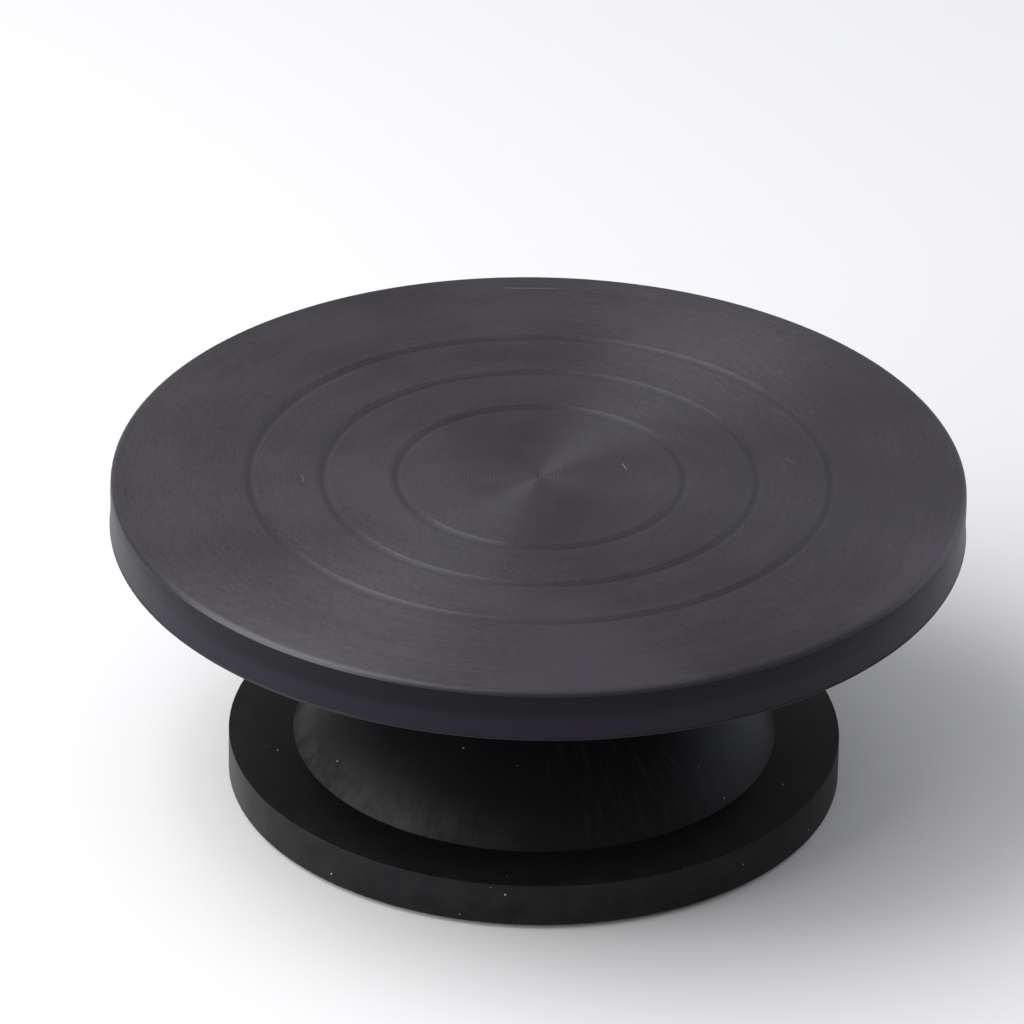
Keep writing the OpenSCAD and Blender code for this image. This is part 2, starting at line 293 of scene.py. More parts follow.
class RibSectors:
    """The columns of a ribbed round mesh, placed so that every rib edge has a column.

    Inside least_r the columns run straight to the axis. Each gap between two ribs has as many
    columns of its own as between says.
    """

    def __init__(self, ribs, least_r, between):
        self.ribs = ribs
        self.least_r = least_r
        self.columns = []
        offsets = [x * MM for x, _ in RIB_SHAPE]
        for rib in range(2 * ribs):
            for x in [-x for x in reversed(offsets[1:])] + offsets:
                self.columns.append((rib, x, None))
            for k in range(between):
                self.columns.append((rib, None, (k + 1) / (between + 1)))

    def angles(self, r):
        """Where each column crosses the circle of radius r."""
        r = max(r, self.least_r)
        sector = math.pi / self.ribs
        edge = math.asin(RIB_SHAPE[-1][0] * MM / r)
        found = []
        for rib, x, share in self.columns:
            if share is None:
                found.append(rib * sector + math.asin(x / r))
            else:
                found.append(rib * sector + edge + share * (sector - 2 * edge))
        return found

    def shares(self, r, middle_r):
        """How much rib each column has at radius r. Every other rib begins at middle_r."""
        found = []
        for rib, x, share in self.columns:
            there = share is None and (rib % 2 == 0 or r >= middle_r)
            found.append(rib_share(x) if there else 0.0)
        return found


def ribbed_row(sectors, r, floor_z, rib_z, rings, start_r):
    """A row of the ribbed underside: rib_z on the ribs and rings, and floor_z between them."""
    ring = max([rib_share(r - middle) for middle in rings], default=0.0)
    grown = min(1.0, max(0.0, (r - start_r) / RIB_RISE))
    row = []
    for a, rib in zip(sectors.angles(r), sectors.shares(r, rings[0])):
        share = max(ring, rib) * grown
        row.append(Vector((r * math.cos(a), r * math.sin(a), floor_z + (rib_z - floor_z) * share)))
    return row


def wheel_top_outline():
    """The wheel head's outside, from the skirt's inner foot over the rim to the top's centre."""
    skirt = rounded([
        (SKIRT_IN_R, WHEEL_RIB_Z - 1 * MM, 0),
        (SKIRT_IN_R + 0.2 * MM, SKIRT_Z, 0.4 * MM),
        (WHEEL_R, SKIRT_Z, 0.25 * MM),
        (WHEEL_R + LIP_PROUD, SKIRT_Z + 0.4 * MM, 0.12 * MM),
        (WHEEL_R, SKIRT_Z + 0.9 * MM, 0.5 * MM),
        (WHEEL_R - BAND_STEP, SKIRT_BAND_Z, 60 * MM),
        (WHEEL_R - BAND_STEP / 2, TOP_Z - 4.5 * MM, 20 * MM),
        (WHEEL_R - EDGE_IN, TOP_Z - ROLL_DROP, 0.2 * MM),
        (WHEEL_R - ROLL_W, TOP_Z - SLOPE_DROP, 2.5 * MM),
        (WHEEL_R - SLOPE_W, TOP_Z, 60 * MM),
        (WHEEL_R - 12 * MM, TOP_Z, 0),
    ], steps=8)
    top = []
    for middle in reversed(GROOVE_RADII):
        top.append((middle + GROOVE_W, TOP_Z))
        for s in GROOVE_STEPS + [-s for s in reversed(GROOVE_STEPS[:-1])]:
            top.append((middle + s * GROOVE_W / 2, TOP_Z - GROOVE_DEPTH * groove_share(s)))
        top.append((middle - GROOVE_W, TOP_Z))
    dimple = rounded([
        (3 * MM, TOP_Z, 0),
        (DIMPLE_R, TOP_Z, 0.3 * MM),
        (DIMPLE_R * 0.3, TOP_Z - DIMPLE_DEPTH, 0.3 * MM),
        (0, TOP_Z - DIMPLE_DEPTH, 0),
    ])
    return [tuple(p) for p in skirt] + top + [tuple(p) for p in dimple]


def groove_share(s):
    """How deep an arc-shaped groove is at s half-widths from its middle, its edges just rounded."""
    arc = 1 - s * s
    return 0.5 * (arc + math.sqrt(arc * arc + GROOVE_EDGE ** 2))


def wheel_underside():
    """Radii and heights of the wheel head's underside between its ribs, from the boss outwards."""
    boss = [(r, BOSS_Z) for r in (RIB_START_R, RIB_START_R + RIB_RISE, BOSS_R - BOSS_CHAMFER)]
    boss += [(BOSS_R, BOSS_Z + BOSS_CHAMFER), (BOSS_R + 0.1 * MM, PLATE_Z - 0.3 * MM)]
    radii = [BOSS_R + 0.5 * MM]
    for middle in WHEEL_RINGS:
        section = near_rib(middle)
        radii += [section[0] - 2 * MM] + section + [section[-1] + 2 * MM]
    radii.append(SKIRT_IN_R - 1.2 * MM)
    corner = [(SKIRT_IN_R - x * MM, PLATE_Z - z * MM) for x, z in ((0.5, 0.15), (0.15, 0.5), (0, 1.2))]
    return boss + [(r, PLATE_Z) for r in radii] + corner


def make_wheel():
    """The wheel head: bored boss, ribbed underside, skirt, rim and grooved top."""
    sectors = RibSectors(WHEEL_RIBS, BOSS_R, between=4)
    rows = [circle(r, z, sectors.angles(r)) for r, z in (
        (0, SPIGOT_BORE_Z), (SPIGOT_BORE_R, SPIGOT_BORE_Z),
        (SPIGOT_BORE_R, BOSS_Z + BOSS_CHAMFER), (SPIGOT_BORE_R + BOSS_CHAMFER, BOSS_Z))]
    for r, z in wheel_underside():
        rows.append(ribbed_row(sectors, r, z, WHEEL_RIB_Z, WHEEL_RINGS, RIB_START_R))
    angles = sectors.angles(WHEEL_R)
    rows += [circle(r, z, angles) for r, z in wheel_top_outline()]
    wheel = link("wheel_head_turned", skin("wheel_head_turned", rows, loop=False))
    shade(wheel)
    return wheel


def dome_z(r, inset=0):
    """The height of the dome at radius r, or of the surface that lies inset below it."""
    return DOME_ARC_Z + math.sqrt((DOME_ARC_R - inset) ** 2 - (r - DOME_ARC_X) ** 2)


def base_outside():
    """The base's outside, from the cap seat over the hub, dome and flange to its inner foot."""
    hub_foot = HUB_R + 0.4 * MM
    hub = rounded([
        (POCKET_R, CAP_SEAT_Z, 0),
        (CAP_SEAT_R, CAP_SEAT_Z, 0.2 * MM),
        (CAP_SEAT_R, HUB_Z, 0.4 * MM),
        (HUB_R, HUB_Z, 3.5 * MM),
        (hub_foot, dome_z(hub_foot), 2.2 * MM),
        (HUB_R + 6 * MM, dome_z(HUB_R + 6 * MM), 0),
    ])
    dome = [(r, dome_z(r)) for r in spread(HUB_R + 8 * MM, DOME_FOOT_R - 2 * MM, 22)]
    foot = rounded([
        (DOME_FOOT_R - 1 * MM, dome_z(DOME_FOOT_R - 1 * MM), 0),
        (DOME_FOOT_R, FLANGE_Z, 0.4 * MM),
        (BASE_R, FLANGE_Z, 0.3 * MM),
        (BASE_R + FLANGE_LEAN, BASE_Z, 0.8 * MM),
        (BASE_R - WALL + 0.2 * MM, BASE_Z, 0.6 * MM),
        (BASE_R - WALL, BASE_RIB_Z - 0.5 * MM, 0),
    ])
    return [tuple(p) for p in hub] + dome + [tuple(p) for p in foot]


def base_floor(r):
    """The height of the underside between the ribs."""
    if r > DOME_FOOT_R - WALL:
        return FLANGE_Z - WALL
    if r < HUB_R - WALL:
        return HUB_VOID_Z
    return dome_z(r, WALL)


def base_underside():
    """The radii at which the base's underside bends, from the flange inwards to the tube."""
    flange_r = BASE_R - WALL
    foot_r = DOME_FOOT_R - WALL
    hub_r = HUB_R - WALL
    step = 0.05 * MM
    inner, outer = BASE_RINGS
    radii = [flange_r - x * MM for x in (0, 0.2, 0.6, 1.4)]
    radii += spread(flange_r - 4 * MM, foot_r + 0.6 * MM, 4)
    radii += [foot_r + step, foot_r - step]
    radii += list(reversed(near_rib(outer)))
    radii += spread(outer - 3 * MM, inner + 3 * MM, 5)
    radii += list(reversed(near_rib(inner)))
    radii += spread(inner - 3 * MM, hub_r + step, 5)
    return radii + [hub_r - step, TUBE_R + 1 * MM, TUBE_R + 0.3 * MM]


def make_base():
    """The base: hub, dome and flange outside, ribs and bearing tube inside, and foot bosses."""
    sectors = RibSectors(BASE_RIBS, TUBE_R + 3 * MM, between=10)
    angles = sectors.angles(BASE_R)
    rows = [circle(r, z, angles) for r, z in base_outside()]
    for r in base_underside():
        rows.append(ribbed_row(sectors, r, base_floor(r), BASE_RIB_Z, BASE_RINGS, 0))
    tube = [
        (TUBE_R, HUB_VOID_Z - 1 * MM), (TUBE_R, TUBE_Z + 0.4 * MM), (TUBE_R - 0.4 * MM, TUBE_Z),
        (POCKET_R + 0.4 * MM, TUBE_Z), (POCKET_R, TUBE_Z + 0.4 * MM), (POCKET_R, LOWER_BEARING_TOP),
        (SHOULDER_R, LOWER_BEARING_TOP), (SHOULDER_R, UPPER_BEARING_Z), (POCKET_R, UPPER_BEARING_Z),
    ]
    tube_angles = sectors.angles(TUBE_R)
    rows += [circle(r, z, tube_angles) for r, z in tube]
    base = link("base_moulding", skin("base_moulding", rows, loop=True))
    grow(base, merged([make_foot_boss(place) for place in FOOT_PLACES], "foot_bosses"))
    shade(base)
    return base


def make_foot_boss(place):
    """A round boss with a pocket for a rubber foot, which reaches up into the flange."""
    low = BASE_Z + 0.15 * MM
    pocket_r = FOOT_R + 0.02 * MM
    outline = rounded([
        (0, FOOT_HIGH.z, 0),
        (pocket_r, FOOT_HIGH.z, 0.3 * MM),
        (pocket_r, low, 0.3 * MM),
        (FOOT_BOSS_R, low, 0.5 * MM),
        (FOOT_BOSS_R, FLANGE_Z - WALL / 2, 0.1 * MM),
        (0, FLANGE_Z - WALL / 2, 0),
    ], steps=3)
    return turned("foot_boss", outline, segments=64, centre=place)


def make_cap():
    """The dust cap: a raised rim and collar round a shallow dish, and a sleeve below."""
    dish_z = CAP_HIGH.z - 0.6 * MM
    seat_z = CAP_SEAT_Z
    outline = rounded([
        (14 * MM, seat_z, 0),
        (CAP_HOLE_R, seat_z, 0.2 * MM),
        (CAP_HOLE_R, CAP_HIGH.z, 0.45 * MM),
        (CAP_HOLE_R + 2 * MM, CAP_HIGH.z, 0.45 * MM),
        (CAP_HOLE_R + 2.5 * MM, dish_z, 0.5 * MM),
        (CAP_R - 3 * MM, dish_z, 0.5 * MM),
        (CAP_R - 2.5 * MM, CAP_HIGH.z, 0.45 * MM),
        (CAP_R, CAP_HIGH.z, 0.5 * MM),
        (CAP_R, seat_z, 0.3 * MM),
        (SLEEVE_R, seat_z, 0.15 * MM),
        (SLEEVE_R, CAP_LOW.z, 0.3 * MM),
        (SLEEVE_IN_R, CAP_LOW.z, 0.3 * MM),
        (SLEEVE_IN_R, seat_z, 0.3 * MM),
        (16 * MM, seat_z, 0),
    ])
    return turned("dust_cap", outline, loop=True, segments=160)


def make_plug():
    """The cup in the bearing tube's lower end, with a dished face and a rim below."""
    dish_z = PLUG_LOW.z + 0.6 * MM
    outline = rounded([
        (0, dish_z, 0),
        (14 * MM, dish_z, 0.5 * MM),
        (14.6 * MM, PLUG_LOW.z, 0.4 * MM),
        (PLUG_RIM_R, PLUG_LOW.z, 0.6 * MM),
        (PLUG_RIM_R, PLUG_FLOOR_Z, 0.3 * MM),
        (SLEEVE_R, PLUG_FLOOR_Z, 0.15 * MM),
        (SLEEVE_R, PLUG_HIGH.z, 0.5 * MM),
        (SLEEVE_IN_R, PLUG_HIGH.z, 0.4 * MM),
        (SLEEVE_IN_R, PLUG_FLOOR_Z, 1 * MM),
        (0, PLUG_FLOOR_Z, 0),
    ])
    return turned("tube_plug", outline, segments=160)


def make_foot(place):
    """A moulded rubber foot with a soft edge and a shallow dish, so that it grips."""
    rim_r = FOOT_R - 1.6 * MM
    outline = rounded([
        (0, 0.45 * MM, 0),
        (rim_r - 1.4 * MM, 0.35 * MM, 2 * MM),
        (rim_r, 0, 0.8 * MM),
        (FOOT_R, 0.1 * MM, 0.8 * MM),
        (FOOT_R, FOOT_HIGH.z, 0.3 * MM),
        (0, FOOT_HIGH.z, 0),
    ])
    return turned("foot", outline, segments=64, centre=place)


# --- Materials --------------------------------------------------------------------------------

# Marks on the top: x, y, heading in degrees, length, width, strength
TOP_MARKS = [
    (28 * MM, 8 * MM, 110, 5 * MM, 0.7 * MM, 0.3),
    (-77 * MM, -4 * MM, 100, 6 * MM, 0.7 * MM, 0.15),
    (82 * MM, 14 * MM, 125, 5 * MM, 0.6 * MM, 0.1),
    (-4 * MM, 130 * MM, 2, 22 * MM, 1.2 * MM, 0.12),
]
MARK_COLOUR = (0.35, 0.34, 0.35)
# The top's rings: short strokes, fine rings, turns of the lathe's feed, patches and wide sweeps
STROKE_PITCH = 0.45 * MM
FINE_PITCH = 0.3 * MM
TURN_PITCH = 1.2 * MM
PATCH_PITCH = 12 * MM
SWEEP_PITCH = 14 * MM
TOP_DARK = (0.014, 0.0108, 0.0176)
TOP_LIGHT = (0.0365, 0.0306, 0.0425)
# The grooves' colour is painted shade, darker where the grooves' walls fall into shadow
GROOVE_PAINTED_SHADE = (0.012, 0.01, 0.014)
# The skirt's two bands: the lower one painted lighter as a painted reflection of the pale floor, the
# upper one painted darker as painted shade
SKIRT_LOWER_PAINTED_REFLECTION = (0.0095, 0.0075, 0.014)
SKIRT_UPPER_PAINTED_SHADE = (0.0025, 0.0018, 0.005)
# Half the height in which the skirt's two colours meet
BAND_BLEND = 1.8 * MM

# The direction from the axis in which the dome is rubbed most, and where it carries a painted highlight
RUBBED_AND_LIT_SIDE = (-0.87, -0.5, 0)
BASE_CLEAN = (0.0065, 0.0063, 0.0074)
BASE_WORN_AND_LIT = (0.07, 0.067, 0.072)
DUST_COLOUR = (0.45, 0.45, 0.44)

# The fine rings on turned and ground steel
RING_PITCH = 0.3 * MM


class Finish:
    """A material and short forms for building its nodes."""

    def __init__(self, name, colour, roughness, **uniform):
        self.material = bpy.data.materials.new(name)
        self.material.use_nodes = True
        self.tree = self.material.node_tree
        self.shader = self.tree.nodes["Principled BSDF"]
        self.shader.inputs["Base Color"].default_value = (*colour, 1)
        self.shader.inputs["Roughness"].default_value = roughness
        for socket, value in uniform.items():
            self.shader.inputs[socket.replace("_", " ")].default_value = value
        self.place = self.add("ShaderNodeTexCoord").outputs["Object"]

    def add(self, kind, inputs=None, **settings):
        """A new node with its inputs set or linked."""
        node = self.tree.nodes.new(kind)
        for key, value in settings.items():
            setattr(node, key, value)
        for key, value in (inputs or {}).items():
            self.put(node.inputs[key], value)
        return node

    def put(self, socket, value):
        """Links value to the socket if it is another node's output, or else sets it there."""
        if isinstance(value, bpy.types.NodeSocket):
            self.tree.links.new(value, socket)
        else:
            socket.default_value = value

    def set(self, socket, value):
        self.put(self.shader.inputs[socket], value)

    def calc(self, operation, a, b=0.0):
        return self.add("ShaderNodeMath", {0: a, 1: b}, operation=operation).outputs[0]

    def vector(self, operation, a, b=(0.0, 0.0, 0.0)):
        node = self.add("ShaderNodeVectorMath", {0: a, 1: b}, operation=operation)
        return node.outputs["Value" if operation in ("LENGTH", "DOT_PRODUCT") else 0]

    def scaled(self, vector, factors):
        return self.vector("MULTIPLY", vector, factors)

    def noise(self, vector, scale=1.0, detail=2.0, roughness=0.5):
        inputs = {"Vector": vector, "Scale": scale, "Detail": detail, "Roughness": roughness}
        return self.add("ShaderNodeTexNoise", inputs).outputs["Fac"]

    def ramp(self, value, low, high, out_low=0.0, out_high=1.0):
        """value between low and high, taken smoothly to out_low and out_high, and held there."""
        inputs = {"Value": value, "From Min": low, "From Max": high,
                  "To Min": out_low, "To Max": out_high}
        node = self.add("ShaderNodeMapRange", inputs, interpolation_type="SMOOTHSTEP")
        return node.outputs["Result"]

    def mix(self, share, first, second):
        """The first colour, taken by share towards the second."""
        node = self.add("ShaderNodeMix", data_type="RGBA")
        self.put(node.inputs["Factor"], share)
        for socket, colour in (("A", first), ("B", second)):
            value = (*colour, 1) if isinstance(colour, tuple) else colour
            self.put([i for i in node.inputs if i.name == socket and i.type == "RGBA"][0], value)
        return [o for o in node.outputs if o.type == "RGBA"][0]

    def bump(self, height, depth, strength):
        inputs = {"Height": height, "Distance": depth, "Strength": strength}
        return self.add("ShaderNodeBump", inputs).outputs["Normal"]

    def polar(self):
        """Distance from the Z axis, and the level direction away from it."""
        level = self.scaled(self.place, (1, 1, 0))
        return self.vector("LENGTH", level), self.vector("NORMALIZE", level)

    def height(self):
        return self.add("ShaderNodeSeparateXYZ", {0: self.place}).outputs["Z"]

    def facing_up(self):
        normal = self.add("ShaderNodeNewGeometry").outputs["Normal"]
        return self.add("ShaderNodeSeparateXYZ", {0: normal}).outputs["Z"]

    def tool_lines(self, distance, out, pitch, wander, detail=1.5):
        """Noise that is drawn out round the axis into rings, a pitch apart along distance."""
        along = self.scaled(out, (wander, wander, 0))
        across = self.add("ShaderNodeCombineXYZ", {"Z": self.calc("DIVIDE", distance, pitch)}).outputs[0]
        return self.noise(self.vector("ADD", along, across), detail=detail)

    def specks(self, cell, size, rare):
        """1 on a few round specks of dust, 0 elsewhere."""
        node = self.add("ShaderNodeTexVoronoi", {"Vector": self.place, "Scale": 1 / cell})
        chosen = self.add("ShaderNodeSeparateColor", {0: node.outputs["Color"]}).outputs["Red"]
        near = self.ramp(node.outputs["Distance"], size * 0.6, size, 1, 0)
        return self.calc("MULTIPLY", near, self.calc("GREATER_THAN", chosen, 1 - rare))

    def scratch(self, x, y, heading, length, width):
        """1 on a short straight mark on a level face, 0 elsewhere."""
        away = self.vector("SUBTRACT", self.place, (x, y, 0))
        turn = math.radians(heading)
        along = self.vector("DOT_PRODUCT", away, (math.cos(turn), math.sin(turn), 0))
        across = self.vector("DOT_PRODUCT", away, (-math.sin(turn), math.cos(turn), 0))
        ends = self.ramp(self.calc("ABSOLUTE", along), length * 0.3, length * 0.5, 1, 0)
        sides = self.ramp(self.calc("ABSOLUTE", across), width * 0.2, width * 0.5, 1, 0)
        return self.calc("MULTIPLY", ends, sides)


def wheel_finish(name, shine, drawn):
    """Black plastic, faced on a lathe: fine rings and a dull grey shine on the top, a darker skirt with
    a painted reflection on its lower band.

    shine is the specular level, and drawn is how far the rings draw a highlight out.
    """
    f = Finish(name, (0.03, 0.027, 0.033), 0.42, Specular_IOR_Level=shine, Anisotropic=drawn)
    # Turned a quarter, so that highlights fan out across the rings
    f.set("Anisotropic Rotation", 0.25)
    f.set("Tangent", f.add("ShaderNodeTangent", direction_type="RADIAL", axis="Z").outputs[0])
    r, out = f.polar()
    top = f.ramp(f.facing_up(), 0.6, 0.97)
    # What the lathe left: its strokes and rings, with the turns of its feed plainest near the middle
    strokes = f.tool_lines(r, out, STROKE_PITCH, 40.0)
    fine = f.tool_lines(r, out, FINE_PITCH, 4.0)
    turns = f.calc("SINE", f.calc("DIVIDE", r, TURN_PITCH / (2 * math.pi)))
    turns = f.calc("MULTIPLY", turns, f.ramp(r, 18 * MM, 40 * MM, 0.22, 0.05))
    patchy = f.ramp(f.tool_lines(r, out, PATCH_PITCH, 1.5), 0.35, 0.65)
    lines = f.calc("ADD", f.calc("MULTIPLY", strokes, 0.65), f.calc("MULTIPLY", fine, 0.35))
    lines = f.calc("ADD", lines, f.calc("MULTIPLY", turns, patchy))
    shown = f.calc("MULTIPLY", f.calc("SUBTRACT", lines, 0.5), top)
    # The top's colour: soft clouds and wide sweeps, and a painted highlight that makes the very middle
    # lighter
    clouds = f.noise(f.place, scale=14, detail=3)
    sweeps = f.tool_lines(r, out, SWEEP_PITCH, 1.6)
    mottle_and_highlight = f.calc("ADD", f.calc("MULTIPLY", sweeps, 0.25), f.calc("MULTIPLY", clouds, 0.75))
    mottle_and_highlight = f.ramp(mottle_and_highlight, 0.25, 0.75, 0.15, 0.85)
    # A painted highlight: the very middle of the top is painted lighter
    mottle_and_highlight = f.calc("ADD", mottle_and_highlight, f.ramp(r, 1 * MM, 16 * MM, 0.2, 0))
    tone = f.calc("ADD", f.calc("MULTIPLY", shown, 1.6), mottle_and_highlight)
    faced = f.mix(f.ramp(tone, 0.1, 0.9), TOP_DARK, TOP_LIGHT)
    # Painted shade that darkens the grooves, and the marks
    in_groove = 0.0
    for middle in GROOVE_RADII:
        away = f.calc("ABSOLUTE", f.calc("SUBTRACT", r, middle))
        in_groove = f.calc("MAXIMUM", in_groove, f.ramp(away, 0, GROOVE_W * 0.42, 1, 0))
    faced = f.mix(f.calc("MULTIPLY", in_groove, 0.5), faced, GROOVE_PAINTED_SHADE)
    marks = 0.0
    for x, y, heading, length, width, strength in TOP_MARKS:
        mark = f.calc("MULTIPLY", f.scratch(x, y, heading, length, width), strength)
        marks = f.calc("MAXIMUM", marks, mark)
    faced = f.mix(marks, faced, MARK_COLOUR)
    # The skirt is painted lighter below the band and darker above it: a painted reflection of the floor
    # below, painted shade above
    band = f.ramp(f.height(), SKIRT_BAND_Z - BAND_BLEND, SKIRT_BAND_Z + BAND_BLEND)
    side = f.mix(band, SKIRT_LOWER_PAINTED_REFLECTION, SKIRT_UPPER_PAINTED_SHADE)
    f.set("Base Color", f.mix(top, side, faced))
    dull = f.calc("MULTIPLY", in_groove, 0.14)
    f.set("Roughness", f.calc("ADD", f.ramp(shown, -0.3, 0.3, 0.36, 0.48), dull))
    f.set("Normal", f.bump(shown, 0.02 * MM, 0.7))
    return f.material


def base_finish():
    """Black moulded plastic, rubbed on the dome and dusty here and there, with painted light on one side
    of the dome's foot and towards the flange's edge.
    """
    f = Finish("base_plastic", (0.01, 0.01, 0.011), 0.42, Specular_IOR_Level=0.1)
    r, out = f.polar()
    streaks = f.vector("ADD", f.scaled(out, (55, 55, 0)), f.scaled(f.place, (0, 0, 140)))
    streaks = f.noise(streaks, detail=4)
    smears = f.noise(f.place, scale=110, detail=5, roughness=0.65)
    patches = f.noise(f.place, scale=14, detail=2)
    # Rubbed round the dome's foot, and painted lighter mostly on one side: a painted highlight on the
    # side the left lamp lights
    foot = f.calc(
        "MULTIPLY", f.ramp(r, DOME_FOOT_R - 13.5 * MM, DOME_FOOT_R + 1.5 * MM),
        f.ramp(r, DOME_FOOT_R + 0.2 * MM, DOME_FOOT_R - 0.1 * MM))
    side = f.ramp(f.vector("DOT_PRODUCT", out, RUBBED_AND_LIT_SIDE), 0.35, 1.0)
    rubbed_and_lit = f.calc("MULTIPLY", foot, f.calc("ADD", f.calc("MULTIPLY", side, 0.3), 0.02))
    smeared = f.ramp(f.calc("ADD", smears, f.calc("MULTIPLY", streaks, 0.5)), 0.5, 0.95)
    rubbed_and_lit = f.calc("MULTIPLY", rubbed_and_lit, smeared)
    # Painted light towards the flange's edge, lighter where it comes out from under the wheel head's
    # shade
    painted_edge_light = f.ramp(r, DOME_FOOT_R + 0.5 * MM, BASE_R + 1.5 * MM)
    painted_edge_light = f.calc("MULTIPLY", painted_edge_light, f.ramp(smears, 0.1, 1.0))
    rubbed_and_lit = f.calc("MAXIMUM", rubbed_and_lit, f.calc("MULTIPLY", painted_edge_light, 0.2))
    # Scuffed in patches all over the dome
    on_dome = f.calc("LESS_THAN", r, DOME_FOOT_R)
    scuffed = f.calc("MULTIPLY", f.ramp(streaks, 0.45, 0.75), f.ramp(patches, 0.42, 0.7))
    scuffed = f.calc("MULTIPLY", f.calc("MULTIPLY", scuffed, on_dome), 0.15)
    rubbed_and_lit = f.calc("MAXIMUM", rubbed_and_lit, scuffed)
    worn_and_lit = f.mix(rubbed_and_lit, BASE_CLEAN, BASE_WORN_AND_LIT)
    dust = f.calc("MAXIMUM", f.specks(7 * MM, 0.05, 0.3), f.specks(2.6 * MM, 0.06, 0.02))
    f.set("Base Color", f.mix(dust, worn_and_lit, DUST_COLOUR))
    f.set("Roughness", f.ramp(patches, 0.3, 0.7, 0.36, 0.48))
    f.set("Normal", f.bump(f.noise(f.place, scale=1800, detail=2), 0.01 * MM, 0.5))
    return f.material


def rubber_finish(name):
    """Dull black rubber with a fine grain."""
    f = Finish(name, (0.025, 0.025, 0.025), 0.75, Specular_IOR_Level=0.35)
    grain = f.noise(f.place, scale=900, detail=3)
    f.set("Base Color", f.mix(f.ramp(grain, 0.3, 0.7), (0.018, 0.018, 0.018), (0.035, 0.035, 0.034)))
    f.set("Normal", f.bump(grain, 0.05 * MM, 0.6))
    return f.material


def steel_finish(name, dark, light, roughness):
    """Turned or ground steel, with fine rings round the axis."""
    f = Finish(name, light, roughness, Metallic=1.0)
    r, out = f.polar()
    rings = f.tool_lines(f.calc("ADD", r, f.height()), out, RING_PITCH, 2.0, detail=2)
    stains = f.noise(f.place, scale=120, detail=3)
    f.set("Base Color", f.mix(f.calc("MULTIPLY", f.ramp(stains, 0.35, 0.7), 0.8), dark, light))
    f.set("Roughness", f.ramp(rings, 0.3, 0.7, roughness * 0.8, roughness * 1.25))
    f.set("Normal", f.bump(rings, 0.01 * MM, 0.5))
    return f.material


def nylon_finish():
    """Natural nylon, a little cloudy and waxy."""
    f = Finish("cage_nylon", (0.45, 0.38, 0.22), 0.5, Specular_IOR_Level=0.4)
    mottle_and_highlight = f.noise(f.place, scale=300, detail=3)
    f.set("Base Color", f.mix(f.ramp(mottle_and_highlight, 0.3, 0.7), (0.38, 0.31, 0.17), (0.5, 0.43, 0.27)))
    f.set("Subsurface Weight", 0.1)
    f.set("Normal", f.bump(f.noise(f.place, scale=1500), 0.01 * MM, 0.5))
    return f.material


FINISHES = {
    "wheel_plastic": wheel_finish("wheel_plastic", 0.6, 0.8),
    "base_plastic": base_finish(),
    "foot_rubber": rubber_finish("foot_rubber"),
    "seal_rubber": rubber_finish("seal_rubber"),
    "spindle_steel": steel_finish("spindle_steel", (0.03, 0.03, 0.032), (0.09, 0.09, 0.095), 0.32),
    "zinc_steel": steel_finish("zinc_steel", (0.42, 0.42, 0.43), (0.62, 0.62, 0.63), 0.3),
    "spring_steel": steel_finish("spring_steel", (0.05, 0.048, 0.046), (0.13, 0.12, 0.115), 0.4),
    "bearing_steel": steel_finish("bearing_steel", (0.55, 0.56, 0.58), (0.72, 0.73, 0.75), 0.14),
    "cage_nylon": nylon_finish(),
}


def wear(obj, slot):
    """Gives a piece the finish of one of the record's material slots."""
    obj.data.materials.clear()
    obj.data.materials.append(FINISHES[slot])


def piece(obj, body, slot, *nodes):
    """A new piece that rides on a body, has a slot's finish and stands for some CAD nodes."""
    wear(obj, slot)
    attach(obj, body)
    if nodes:
        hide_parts(*nodes)


wheel_head = make_wheel()
piece(wheel_head, "wheel", "wheel_plastic", "wheel_head")
# Below the rim's crisp edge the plastic is duller
wheel_head.data.materials.append(wheel_finish("wheel_side_plastic", 0.17, 0.2))
for face in wheel_head.data.polygons:
    face.material_index = 0 if face.center.z > TOP_Z - ROLL_DROP else 1
piece(make_base(), "base", "base_plastic", "base")
piece(make_cap(), "base", "base_plastic", "hub_cap")
piece(make_plug(), "base", "base_plastic", "bottom_plug")
piece(merged([make_foot(place) for place in FOOT_PLACES], "feet"), "base", "foot_rubber", "rubber_feet")

# The CAD nodes that still show keep their shape
for part in frame["record"]["subparts"]:
    cad_node = frame["nodes"][part["node"]]
    if not cad_node.hide_render:
        wear(cad_node, part["material_slot"])

# --- Camera -----------------------------------------------------------------------------------

VIEW_ELEVATION = math.radians(29.23)
VIEW_ROLL = math.radians(1.09)
VIEW_DISTANCE = 3.52
# In millimetres
LENS = 378.9
# From the middle of the top face to the point that the camera looks at, in the picture plane
AIM_RIGHT = -8.75 * MM
AIM_UP = -11.5 * MM


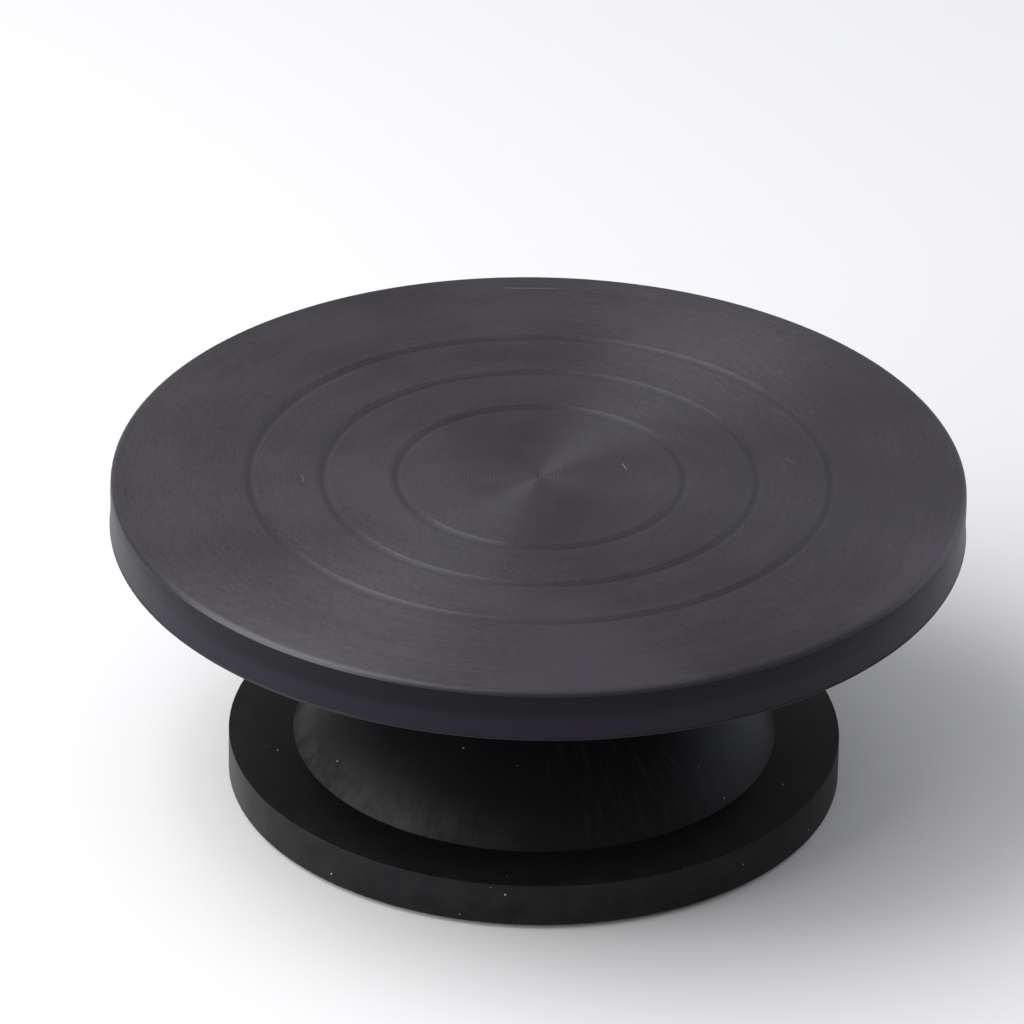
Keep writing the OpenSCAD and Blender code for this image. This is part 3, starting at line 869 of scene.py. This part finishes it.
def make_camera():
    """The camera, a little rolled, that looks down at the wheel head from the front."""
    top = Vector((0, 0, TOP_Z))
    back = Vector((0, -math.cos(VIEW_ELEVATION), math.sin(VIEW_ELEVATION)))
    level_up = Vector((0, math.sin(VIEW_ELEVATION), math.cos(VIEW_ELEVATION)))
    level_right = Vector((1, 0, 0))
    right = level_right * math.cos(VIEW_ROLL) + level_up * math.sin(VIEW_ROLL)
    up = level_up * math.cos(VIEW_ROLL) - level_right * math.sin(VIEW_ROLL)
    place = top + back * VIEW_DISTANCE
    target = top + right * AIM_RIGHT + up * AIM_UP
    forward = (target - place).normalized()
    right = forward.cross(up).normalized()
    up = right.cross(forward)
    data = bpy.data.cameras.new("camera")
    data.lens = LENS
    data.sensor_width = 36
    data.clip_end = 50
    camera = bpy.data.objects.new("camera", data)
    bpy.context.scene.collection.objects.link(camera)
    turn = Matrix((right, up, -forward)).transposed()
    camera.matrix_world = Matrix.Translation(place) @ turn.to_4x4()
    bpy.context.scene.camera = camera


make_camera()

# --- Floor and light ----------------------------------------------------------------------------


def make_floor():
    """A plain pale floor under the object."""
    mesh = bpy.data.meshes.new("floor")
    half = 6.0
    corners = [(x * half, y * half, 0) for x, y in ((-1, -1), (1, -1), (1, 1), (-1, 1))]
    mesh.from_pydata(corners, [], [(0, 1, 2, 3)])
    floor = link("floor", mesh)
    material = bpy.data.materials.new("floor")
    material.use_nodes = True
    shader = material.node_tree.nodes["Principled BSDF"]
    shader.inputs["Base Color"].default_value = (0.86, 0.86, 0.87, 1)
    shader.inputs["Roughness"].default_value = 0.9
    shader.inputs["Specular IOR Level"].default_value = 0.1
    mesh.materials.append(material)


def area_light(name, place, target, size, power, colour=(1, 1, 1)):
    """A soft rectangular lamp of some watts at place, which faces target."""
    data = bpy.data.lights.new(name, "AREA")
    data.shape = "RECTANGLE"
    data.size, data.size_y = size
    data.energy = power
    data.color = colour
    light = bpy.data.objects.new(name, data)
    bpy.context.scene.collection.objects.link(light)
    light.location = place
    light.rotation_euler = (Vector(target) - Vector(place)).to_track_quat("-Z", "Y").to_euler()


def make_world():
    """Even white light from all round."""
    world = bpy.data.worlds.new("studio")
    bpy.context.scene.world = world
    world.use_nodes = True
    background = world.node_tree.nodes["Background"]
    background.inputs["Color"].default_value = (1, 1, 1, 1)
    background.inputs["Strength"].default_value = 0.46


make_floor()
make_world()
# Each lamp: its place, what it faces, its size, watts and colour
area_light("overhead", (-0.9, -0.05, 1.38), (0, 0, 0.1), (1.4, 1.4), 21.5)
area_light("left", (-1.4, -0.55, 0.45), (-0.2, -0.1, 0.05), (1.4, 0.8), 17)
area_light("right", (1.2, 0.7, 0.5), (0.3, 0.1, 0), (1.2, 0.6), 2.5, (0.72, 0.8, 1.0))
bpy.context.scene.view_settings.view_transform = "Standard"
